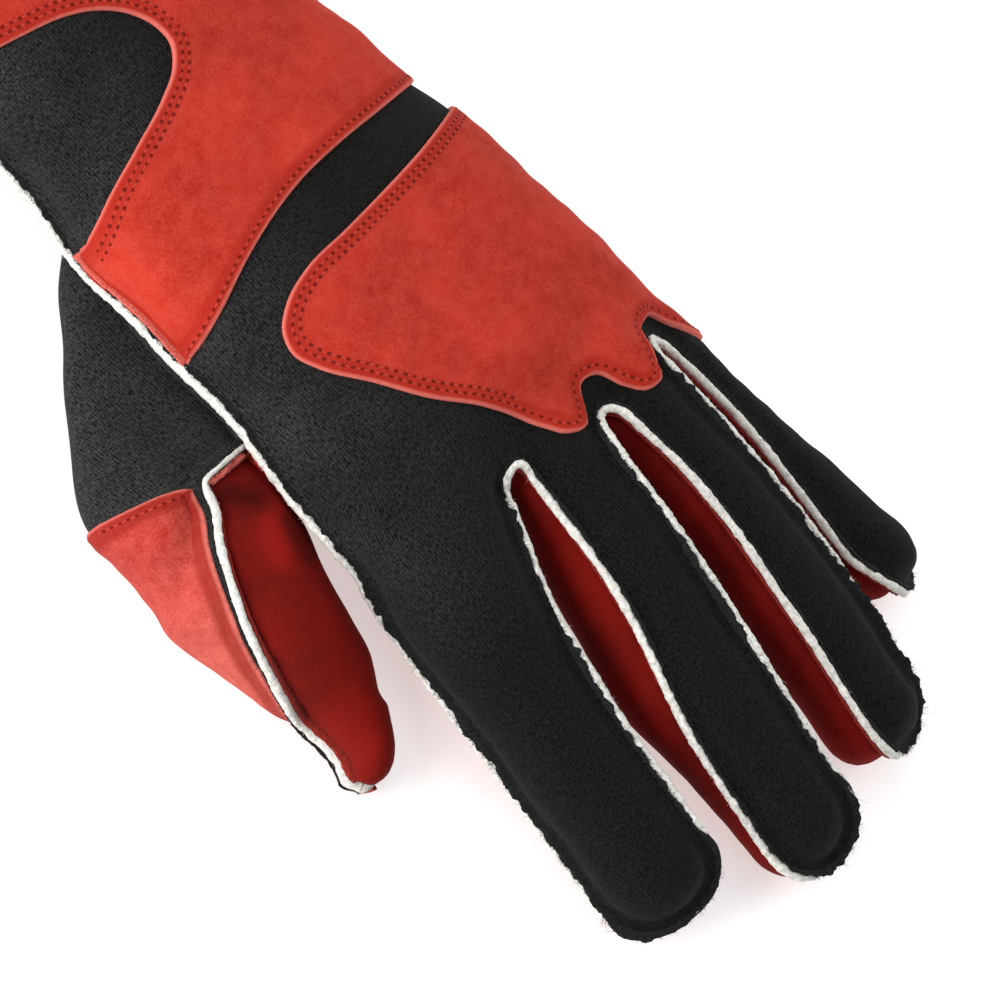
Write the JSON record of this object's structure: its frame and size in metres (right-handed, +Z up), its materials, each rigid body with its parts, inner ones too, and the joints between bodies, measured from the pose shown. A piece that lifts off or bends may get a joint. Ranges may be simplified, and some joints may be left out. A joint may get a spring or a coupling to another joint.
{
  "type": "racing glove",
  "caption": "Left gauntlet racing glove, palm down: black rib knit back, red suede palm, slot walls and patches, raw outside seams with a white lining edge.",
  "frame": {"origin": "middle of the glove's footprint, on the surface that it rests on", "axes": "+X towards the thumb side, +Y towards the fingertips, +Z up through the back of the hand"},
  "size_m": [0.1336, 0.2818, 0.041],
  "materials": {
    "black_knit": "fine rib knit, matt",
    "red_suede": "napped suede, matt",
    "white_lining": "brushed lining, raw edge"
  },
  "bodies": {
    "root": {"back_panel": "black_knit", "palm_panel": "red_suede", "fourchette_index_middle": "red_suede", "fourchette_middle_ring": "red_suede", "fourchette_ring_little": "red_suede", "thumb_back": "black_knit", "thumb_front": "red_suede", "thumb_cap": "red_suede", "knuckle_patch": "red_suede", "wrist_patch": "red_suede", "lining_edge_main": "white_lining", "lining_edge_thumb": "white_lining"}
  },
  "joints": []
}
